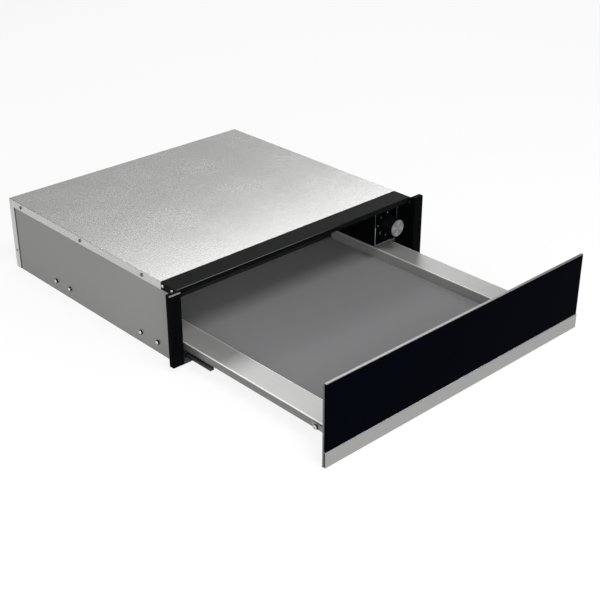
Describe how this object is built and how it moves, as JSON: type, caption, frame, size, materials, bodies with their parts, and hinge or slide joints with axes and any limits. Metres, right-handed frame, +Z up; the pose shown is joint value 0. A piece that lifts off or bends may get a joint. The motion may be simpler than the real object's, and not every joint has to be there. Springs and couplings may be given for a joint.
{
  "type": "warming drawer",
  "caption": "Built-in warming drawer: flat galvanised housing with black front frame, steel drawer on telescopic runners, black glass front and a heat knob inside.",
  "frame": {"origin": "centre of the underside of the base plate, midway between its front and back edges", "axes": "+X to the right seen from the front, +Y back into the cabinet, +Z up; the drawer slides out along -Y"},
  "size_m": [0.596, 0.8722, 0.143],
  "materials": {
    "galvanised": "zinc spangle, satin",
    "black_frame": "powder coat, satin",
    "bright_screws": "zinc plated, bright",
    "dark_screws": "blackened",
    "fascia_gloss": "gloss",
    "bright_trim": "polished",
    "lamp_lens": "gloss, translucent look",
    "zinc_steel": "zinc plated",
    "copper_probe": "drawn copper",
    "element_sheath": "heat tinted",
    "motor_steel": "laminations, varnished",
    "winding": "enamelled wire, wrapped",
    "rubber_bush": "matte",
    "white_plastic": "matte",
    "black_plastic": "fine texture",
    "dark_rail": "black passivated steel",
    "drawer_steel": "brushed along the depth",
    "mat_rubber": "matte, fine grain",
    "black_glass": "black enamelled glass, polished",
    "backing_paint": "powder coat",
    "satin_steel": "brushed along the width",
    "spun_aluminium": "spun"
  },
  "bodies": {
    "housing": {"base_plate": "galvanised", "left_side_panel": "galvanised", "right_side_panel": "galvanised", "back_panel": "galvanised", "top_cover": "galvanised", "front_top_bar": "black_frame", "left_post": "black_frame", "right_post": "black_frame", "cover_screws": "dark_screws", "frame_screws": "bright_screws", "runner_screws": "bright_screws", "control_box": "black_frame", "control_fascia": "fascia_gloss", "fascia_trim": "bright_trim", "pilot_lamp": "lamp_lens", "thermostat_body": "zinc_steel", "thermostat_nut": "zinc_steel", "temperature_probe": "copper_probe", "rear_partition": "galvanised", "fan_duct": "galvanised", "heating_element": "element_sheath", "safety_cutout": "zinc_steel", "motor_stator": "motor_steel", "motor_coil": "winding", "motor_bracket": "galvanised", "shaft_bearings": "rubber_bush", "terminal_block": "white_plastic", "cable_gland": "black_plastic", "latch_body": "black_plastic", "left_fixed_rail": "dark_rail", "right_fixed_rail": "dark_rail"},
    "drawer": {"left_drawer_rail": "zinc_steel", "right_drawer_rail": "zinc_steel", "drawer_tray": "drawer_steel", "tray_cross_members": "galvanised", "non_slip_mat": "mat_rubber", "left_carrier": "galvanised", "right_carrier": "galvanised", "front_glass": "black_glass", "front_backing": "backing_paint", "front_top_trim": "satin_steel", "front_bottom_strip": "satin_steel", "left_front_bracket": "dark_rail", "right_front_bracket": "dark_rail", "bracket_bolts": "bright_screws", "latch_striker": "zinc_steel"},
    "left_middle": {"left_middle_rail": "dark_rail"},
    "right_middle": {"right_middle_rail": "dark_rail"},
    "left_outer_balls": {"left_outer_cage": "zinc_steel"},
    "right_outer_balls": {"right_outer_cage": "zinc_steel"},
    "left_inner_balls": {"left_inner_cage": "zinc_steel"},
    "right_inner_balls": {"right_inner_cage": "zinc_steel"},
    "knob": {"knob_body": "black_plastic", "knob_cap": "spun_aluminium", "thermostat_shaft": "zinc_steel"},
    "fan_rotor": {"fan_impeller": "spun_aluminium", "fan_shaft": "zinc_steel", "motor_rotor": "motor_steel"},
    "latch": {"latch_plunger": "white_plastic"}
  },
  "joints": [
    {"name": "drawer_slide", "type": "slide", "parent": "housing", "child": "drawer", "axis": [0, -1, 0], "range_m": [-0.3415, 0.0635]},
    {"name": "left_middle_slide", "type": "slide", "parent": "housing", "child": "left_middle", "axis": [0, -1, 0], "range_m": [-0.17075, 0.03175]},
    {"name": "left_outer_cage_slide", "type": "slide", "parent": "housing", "child": "left_outer_balls", "axis": [0, -1, 0], "range_m": [-0.08538, 0.01588]},
    {"name": "left_inner_cage_slide", "type": "slide", "parent": "housing", "child": "left_inner_balls", "axis": [0, -1, 0], "range_m": [-0.25612, 0.04763]},
    {"name": "right_middle_slide", "type": "slide", "parent": "housing", "child": "right_middle", "axis": [0, -1, 0], "range_m": [-0.17075, 0.03175]},
    {"name": "right_outer_cage_slide", "type": "slide", "parent": "housing", "child": "right_outer_balls", "axis": [0, -1, 0], "range_m": [-0.08538, 0.01588]},
    {"name": "right_inner_cage_slide", "type": "slide", "parent": "housing", "child": "right_inner_balls", "axis": [0, -1, 0], "range_m": [-0.25612, 0.04763]},
    {"name": "knob_turn", "type": "hinge", "parent": "housing", "child": "knob", "pos_m": [0.2315, -0.2595, 0.0915], "axis": [0, 1, 0], "range_deg": [0, 270]},
    {"name": "fan_spin", "type": "hinge", "parent": "housing", "child": "fan_rotor", "pos_m": [-0.06, 0.215, 0.076], "axis": [1, 0, 0], "continuous": true},
    {"name": "latch_push", "type": "slide", "parent": "housing", "child": "latch", "axis": [0, 1, 0], "range_m": [0, 0.008], "stiffness_N_per_m": 300, "springref_m": -0.004}
  ],
  "couplings": [
    {"joint": "left_middle_slide", "follows": "drawer_slide", "ratio": 0.5},
    {"joint": "left_outer_cage_slide", "follows": "drawer_slide", "ratio": 0.25},
    {"joint": "left_inner_cage_slide", "follows": "drawer_slide", "ratio": 0.75},
    {"joint": "right_middle_slide", "follows": "drawer_slide", "ratio": 0.5},
    {"joint": "right_outer_cage_slide", "follows": "drawer_slide", "ratio": 0.25},
    {"joint": "right_inner_cage_slide", "follows": "drawer_slide", "ratio": 0.75}
  ]
}
